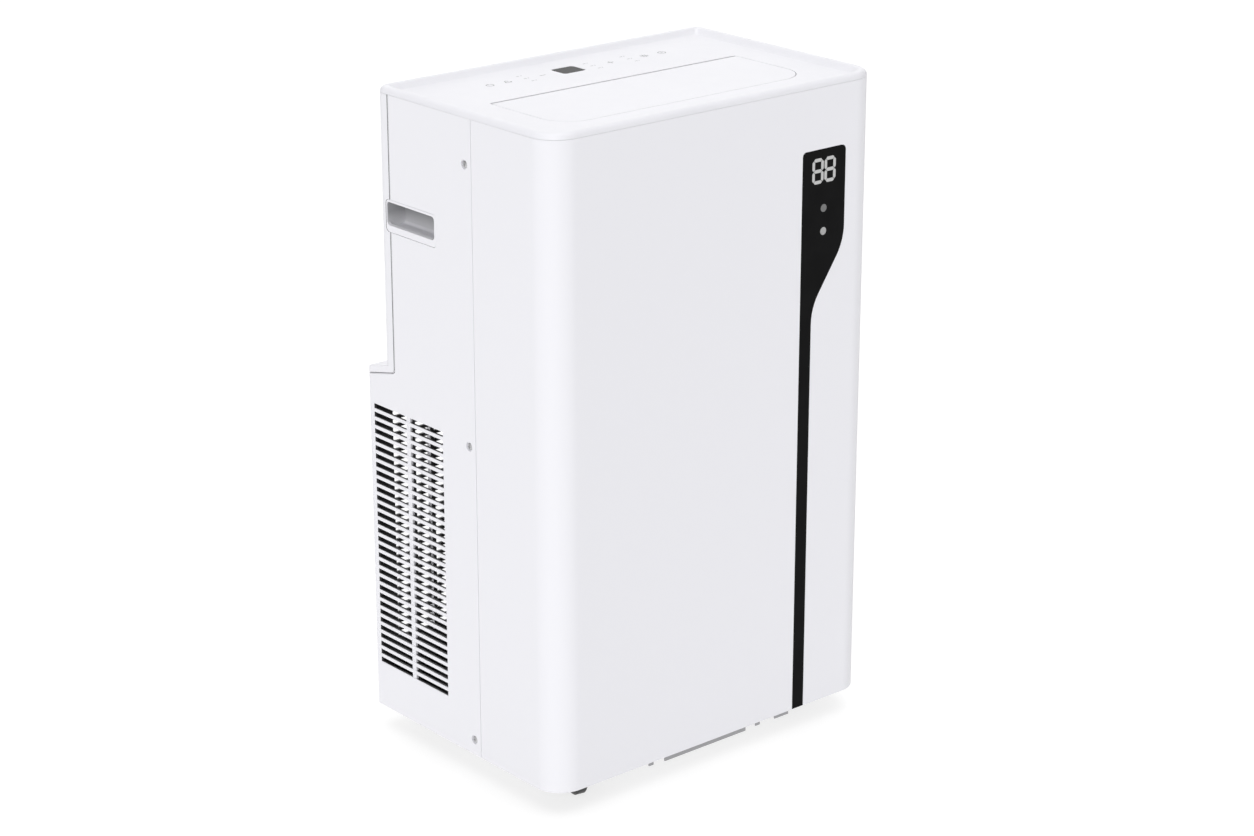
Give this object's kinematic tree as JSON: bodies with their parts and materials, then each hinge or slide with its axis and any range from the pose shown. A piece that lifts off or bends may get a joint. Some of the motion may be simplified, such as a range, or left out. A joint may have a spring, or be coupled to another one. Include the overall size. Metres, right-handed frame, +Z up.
{
  "type": "portable air conditioner",
  "caption": "Tall white floor-standing air conditioner on swivel casters, with a black S-edged front panel, a flap outlet in its top, grip cups, intake grilles and a rear hose port.",
  "frame": {"origin": "on the floor, under the middle of the footprint", "axes": "+Z up, +X to the right seen from the front, -Y is the front with the black panel"},
  "size_m": [0.438, 0.311, 0.7205],
  "materials": {
    "white_plastic": "fine satin texture",
    "black_gloss": "polished",
    "black_plastic": "satin",
    "grey_plastic": "satin",
    "steel": "zinc plated",
    "zinc": "galvanised sheet",
    "fins": "bare fins",
    "copper": "drawn copper tube",
    "black_steel": "black enamel",
    "rubber": "matte",
    "board": "solder mask",
    "filter": "woven mesh in a frame"
  },
  "bodies": {
    "cabinet": {"accumulator": "black_steel", "base_pan": "grey_plastic", "casing_screw_left_1": "steel", "casing_screw_left_2": "steel", "casing_screw_left_3": "steel", "casing_screw_right_1": "steel", "casing_screw_right_2": "steel", "casing_screw_right_3": "steel", "compressor": "black_steel", "compressor_foot_1": "rubber", "compressor_foot_2": "rubber", "compressor_foot_3": "rubber", "condenser_coil": "fins", "condenser_motor": "steel", "condenser_scroll": "grey_plastic", "control_box": "zinc", "cord_gland": "black_plastic", "discharge_pipe": "copper", "display_window": "black_gloss", "evaporator_coil": "fins", "evaporator_motor": "steel", "evaporator_scroll": "grey_plastic", "exhaust_collar": "grey_plastic", "exhaust_duct": "grey_plastic", "flap_motor": "steel", "front_casing": "white_plastic", "front_display_board": "board", "front_panel": "black_gloss", "handle_cup_left": "white_plastic", "handle_cup_right": "white_plastic", "key_board": "board", "liquid_pipe": "copper", "main_board": "board", "outlet_frame": "grey_plastic", "partition_tray": "grey_plastic", "rear_casing": "white_plastic", "rear_upper_casing": "white_plastic", "suction_pipe": "copper", "top_cover": "white_plastic"},
    "outlet_flap": {"outlet_flap": "white_plastic"},
    "swing_vane_1": {"swing_vane_1": "grey_plastic"},
    "swing_vane_2": {"swing_vane_2": "grey_plastic"},
    "swing_vane_3": {"swing_vane_3": "grey_plastic"},
    "swing_vane_4": {"swing_vane_4": "grey_plastic"},
    "swing_vane_5": {"swing_vane_5": "grey_plastic"},
    "vane_link": {"vane_link": "grey_plastic"},
    "filter_door": {"filter_cover": "white_plastic", "filter_mesh": "filter"},
    "evaporator_blower": {"evaporator_blower": "black_plastic"},
    "condenser_blower": {"condenser_blower": "black_plastic"},
    "lower_drain_cap": {"lower_drain_cap": "rubber"},
    "upper_drain_plug": {"upper_drain_plug": "rubber"},
    "caster_fork_front_left": {"caster_fork_front_left": "black_plastic"},
    "caster_wheel_front_left": {"caster_wheel_front_left": "black_plastic"},
    "caster_fork_front_right": {"caster_fork_front_right": "black_plastic"},
    "caster_wheel_front_right": {"caster_wheel_front_right": "black_plastic"},
    "caster_fork_rear_left": {"caster_fork_rear_left": "black_plastic"},
    "caster_wheel_rear_left": {"caster_wheel_rear_left": "black_plastic"},
    "caster_fork_rear_right": {"caster_fork_rear_right": "black_plastic"},
    "caster_wheel_rear_right": {"caster_wheel_rear_right": "black_plastic"}
  },
  "joints": [
    {"name": "outlet_flap_hinge", "type": "hinge", "parent": "cabinet", "child": "outlet_flap", "pos_m": [0, -0.009, 0.701], "axis": [-1, 0, 0], "range_deg": [0, 65]},
    {"name": "swing_vane_1_hinge", "type": "hinge", "parent": "cabinet", "child": "swing_vane_1", "pos_m": [-0.12, -0.1135, 0.676], "axis": [0, -1, 0], "range_deg": [-25, 25]},
    {"name": "swing_vane_2_hinge", "type": "hinge", "parent": "cabinet", "child": "swing_vane_2", "pos_m": [-0.06, -0.1135, 0.676], "axis": [0, -1, 0], "range_deg": [-25, 25]},
    {"name": "swing_vane_3_hinge", "type": "hinge", "parent": "cabinet", "child": "swing_vane_3", "pos_m": [0, -0.1135, 0.676], "axis": [0, -1, 0], "range_deg": [-25, 25]},
    {"name": "swing_vane_4_hinge", "type": "hinge", "parent": "cabinet", "child": "swing_vane_4", "pos_m": [0.06, -0.1135, 0.676], "axis": [0, -1, 0], "range_deg": [-25, 25]},
    {"name": "swing_vane_5_hinge", "type": "hinge", "parent": "cabinet", "child": "swing_vane_5", "pos_m": [0.12, -0.1135, 0.676], "axis": [0, -1, 0], "range_deg": [-25, 25]},
    {"name": "vane_link_slide", "type": "slide", "parent": "cabinet", "child": "vane_link", "axis": [1, 0, 0], "range_m": [-0.006, 0.006]},
    {"name": "filter_door_hinge", "type": "hinge", "parent": "cabinet", "child": "filter_door", "pos_m": [0, 0.126, 0.4722], "axis": [-1, 0, 0], "range_deg": [0, 75]},
    {"name": "evaporator_blower_spin", "type": "hinge", "parent": "cabinet", "child": "evaporator_blower", "pos_m": [0, -0.088, 0.545], "axis": [0, 1, 0], "continuous": true},
    {"name": "condenser_blower_spin", "type": "hinge", "parent": "cabinet", "child": "condenser_blower", "pos_m": [-0.03, -0.094, 0.165], "axis": [0, 1, 0], "continuous": true},
    {"name": "caster_fork_front_left_swivel", "type": "hinge", "parent": "cabinet", "child": "caster_fork_front_left", "pos_m": [-0.16, -0.1065, 0.038], "axis": [0, 0, 1], "continuous": true},
    {"name": "caster_wheel_front_left_spin", "type": "hinge", "parent": "caster_fork_front_left", "child": "caster_wheel_front_left", "pos_m": [-0.16208, -0.11832, 0.0155], "axis": [0.9848, -0.1736, 0], "continuous": true},
    {"name": "caster_fork_front_right_swivel", "type": "hinge", "parent": "cabinet", "child": "caster_fork_front_right", "pos_m": [0.16, -0.1065, 0.038], "axis": [0, 0, 1], "continuous": true},
    {"name": "caster_wheel_front_right_spin", "type": "hinge", "parent": "caster_fork_front_right", "child": "caster_wheel_front_right", "pos_m": [0.154, -0.09611, 0.0155], "axis": [-0.866, -0.5, 0], "continuous": true},
    {"name": "caster_fork_rear_left_swivel", "type": "hinge", "parent": "cabinet", "child": "caster_fork_rear_left", "pos_m": [-0.16, 0.1065, 0.038], "axis": [0, 0, 1], "continuous": true},
    {"name": "caster_wheel_rear_left_spin", "type": "hinge", "parent": "caster_fork_rear_left", "child": "caster_wheel_rear_left", "pos_m": [-0.15312, 0.09667, 0.0155], "axis": [0.8192, 0.5736, 0], "continuous": true},
    {"name": "caster_fork_rear_right_swivel", "type": "hinge", "parent": "cabinet", "child": "caster_fork_rear_right", "pos_m": [0.16, 0.1065, 0.038], "axis": [0, 0, 1], "continuous": true},
    {"name": "caster_wheel_rear_right_spin", "type": "hinge", "parent": "caster_fork_rear_right", "child": "caster_wheel_rear_right", "pos_m": [0.15493, 0.09562, 0.0155], "axis": [0.9063, -0.4226, 0], "continuous": true},
    {"name": "lower_drain_cap_pull", "type": "slide", "parent": "cabinet", "child": "lower_drain_cap", "axis": [0, 1, 0], "range_m": [0, 0.03]},
    {"name": "upper_drain_plug_pull", "type": "slide", "parent": "cabinet", "child": "upper_drain_plug", "axis": [0, 1, 0], "range_m": [0, 0.03]}
  ],
  "couplings": [
    {"joint": "swing_vane_1_hinge", "follows": "swing_vane_3_hinge", "ratio": 1},
    {"joint": "swing_vane_2_hinge", "follows": "swing_vane_3_hinge", "ratio": 1},
    {"joint": "swing_vane_4_hinge", "follows": "swing_vane_3_hinge", "ratio": 1},
    {"joint": "swing_vane_5_hinge", "follows": "swing_vane_3_hinge", "ratio": 1},
    {"joint": "vane_link_slide", "follows": "swing_vane_3_hinge", "m_per_rad": 0.013}
  ]
}
